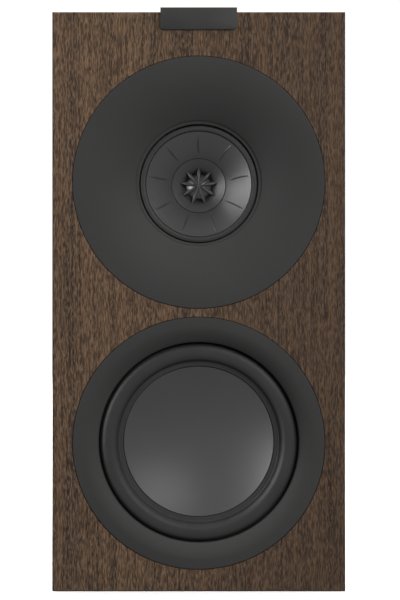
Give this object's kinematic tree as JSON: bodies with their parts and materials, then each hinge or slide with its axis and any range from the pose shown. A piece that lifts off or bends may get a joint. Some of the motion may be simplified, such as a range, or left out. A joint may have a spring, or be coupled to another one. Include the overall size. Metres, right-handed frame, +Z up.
{
  "type": "bookshelf speaker",
  "caption": "Three-way bookshelf loudspeaker in a walnut cabinet: a coaxial midrange and tweeter in a wide flare above a dished bass cone, with a rear port and binding posts",
  "frame": {"origin": "centre of the cabinet's bottom face, on the surface it stands on", "axes": "+Z up, the front baffle faces -Y, +X is to the right seen from the front"},
  "size_m": [0.21, 0.3162, 0.418],
  "materials": {
    "walnut": "satin veneer with vertical grain",
    "black_vinyl": "textured black finish",
    "plywood": "raw board",
    "wadding": "soft fibre",
    "magnet_plating": "nickel plated",
    "brass": "satin",
    "badge_metal": "satin",
    "black_plastic": "fine texture",
    "gasket_foam": "soft",
    "black_steel": "black oxide",
    "red_plastic": "polished",
    "circuit_board": "solder mask",
    "copper": "enamelled wire",
    "capacitor_film": "film",
    "resistor_ceramic": "matte",
    "white_plastic": "smooth",
    "lead_insulation": "smooth",
    "driver_trim": "satin",
    "basket_metal": "powder coat",
    "surround_rubber": "satin",
    "cone_metal": "dark satin",
    "cone_paper": "pressed pulp",
    "spider_cloth": "resin-stiffened cloth",
    "motor_steel": "zinc plated",
    "ferrite": "matte",
    "waveguide_plastic": "satin",
    "dome_metal": "satin"
  },
  "bodies": {
    "root": {"front_baffle": "walnut", "left_side_panel": "walnut", "right_side_panel": "walnut", "top_panel": "walnut", "bottom_panel": "walnut", "back_panel": "black_vinyl", "shelf_brace": "plywood", "cabinet_wadding": "wadding", "grille_magnets": "magnet_plating", "stand_inserts": "brass", "badge": "badge_metal", "port_tube": "black_plastic", "terminal_plate": "black_plastic", "terminal_gasket": "gasket_foam", "terminal_screws": "black_steel", "positive_post": "brass", "negative_post": "brass", "post_nuts": "brass", "crossover_board": "circuit_board", "crossover_inductors": "copper", "crossover_capacitors": "capacitor_film", "crossover_resistors": "resistor_ceramic", "crossover_spacers": "white_plastic", "driver_leads": "lead_insulation", "woofer_trim_ring": "driver_trim", "woofer_basket": "basket_metal", "woofer_gasket": "gasket_foam", "woofer_screws": "black_steel", "woofer_surround": "surround_rubber", "woofer_spider": "spider_cloth", "woofer_top_plate": "motor_steel", "woofer_magnet": "ferrite", "woofer_yoke": "motor_steel", "coax_flare": "driver_trim", "coax_basket": "basket_metal", "coax_gasket": "gasket_foam", "coax_screws": "black_steel", "mid_surround": "surround_rubber", "mid_spider": "spider_cloth", "mid_top_plate": "motor_steel", "mid_magnet": "ferrite", "mid_yoke": "motor_steel", "mid_chamber": "black_plastic", "mid_chamber_wadding": "wadding", "tweeter_waveguide": "waveguide_plastic", "tweeter_surround": "surround_rubber", "tweeter_pole_disc": "motor_steel", "tweeter_magnet": "magnet_plating", "tweeter_yoke": "motor_steel"},
    "woofer_cone_unit": {"woofer_cone": "cone_metal", "woofer_cone_body": "cone_paper", "woofer_voice_coil": "copper"},
    "mid_cone_unit": {"mid_cone": "cone_metal", "mid_voice_coil": "copper"},
    "tweeter_dome_unit": {"tweeter_dome": "dome_metal", "tweeter_voice_coil": "copper"},
    "positive_sleeve": {"positive_knob_sleeve": "brass"},
    "positive_cap": {"positive_knob": "red_plastic"},
    "negative_sleeve": {"negative_knob_sleeve": "brass"},
    "negative_cap": {"negative_knob": "black_plastic"}
  },
  "joints": [
    {"name": "woofer_travel", "type": "slide", "parent": "root", "child": "woofer_cone_unit", "axis": [0, -1, 0], "range_m": [-0.006, 0.006], "stiffness_N_per_m": 870, "deforming": ["woofer_surround", "woofer_spider"]},
    {"name": "midrange_travel", "type": "slide", "parent": "root", "child": "mid_cone_unit", "axis": [0, -1, 0], "range_m": [-0.0015, 0.0015], "stiffness_N_per_m": 1500, "deforming": ["mid_surround", "mid_spider"]},
    {"name": "tweeter_travel", "type": "slide", "parent": "root", "child": "tweeter_dome_unit", "axis": [0, -1, 0], "range_m": [-0.0003, 0.0003], "stiffness_N_per_m": 500, "deforming": ["tweeter_surround"]},
    {"name": "positive_knob_lift", "type": "slide", "parent": "root", "child": "positive_sleeve", "axis": [0, 1, 0], "range_m": [0, 0.004]},
    {"name": "positive_knob_turn", "type": "hinge", "parent": "positive_sleeve", "child": "positive_cap", "pos_m": [-0.0095, 0.1505, 0.08], "axis": [0, 1, 0], "range_deg": [0, 1440]},
    {"name": "negative_knob_lift", "type": "slide", "parent": "root", "child": "negative_sleeve", "axis": [0, 1, 0], "range_m": [0, 0.004]},
    {"name": "negative_knob_turn", "type": "hinge", "parent": "negative_sleeve", "child": "negative_cap", "pos_m": [0.0095, 0.1505, 0.08], "axis": [0, 1, 0], "range_deg": [0, 1440]}
  ],
  "couplings": [
    {"joint": "positive_knob_turn", "follows": "positive_knob_lift", "rad_per_m": 6283.2},
    {"joint": "negative_knob_turn", "follows": "negative_knob_lift", "rad_per_m": 6283.2}
  ]
}
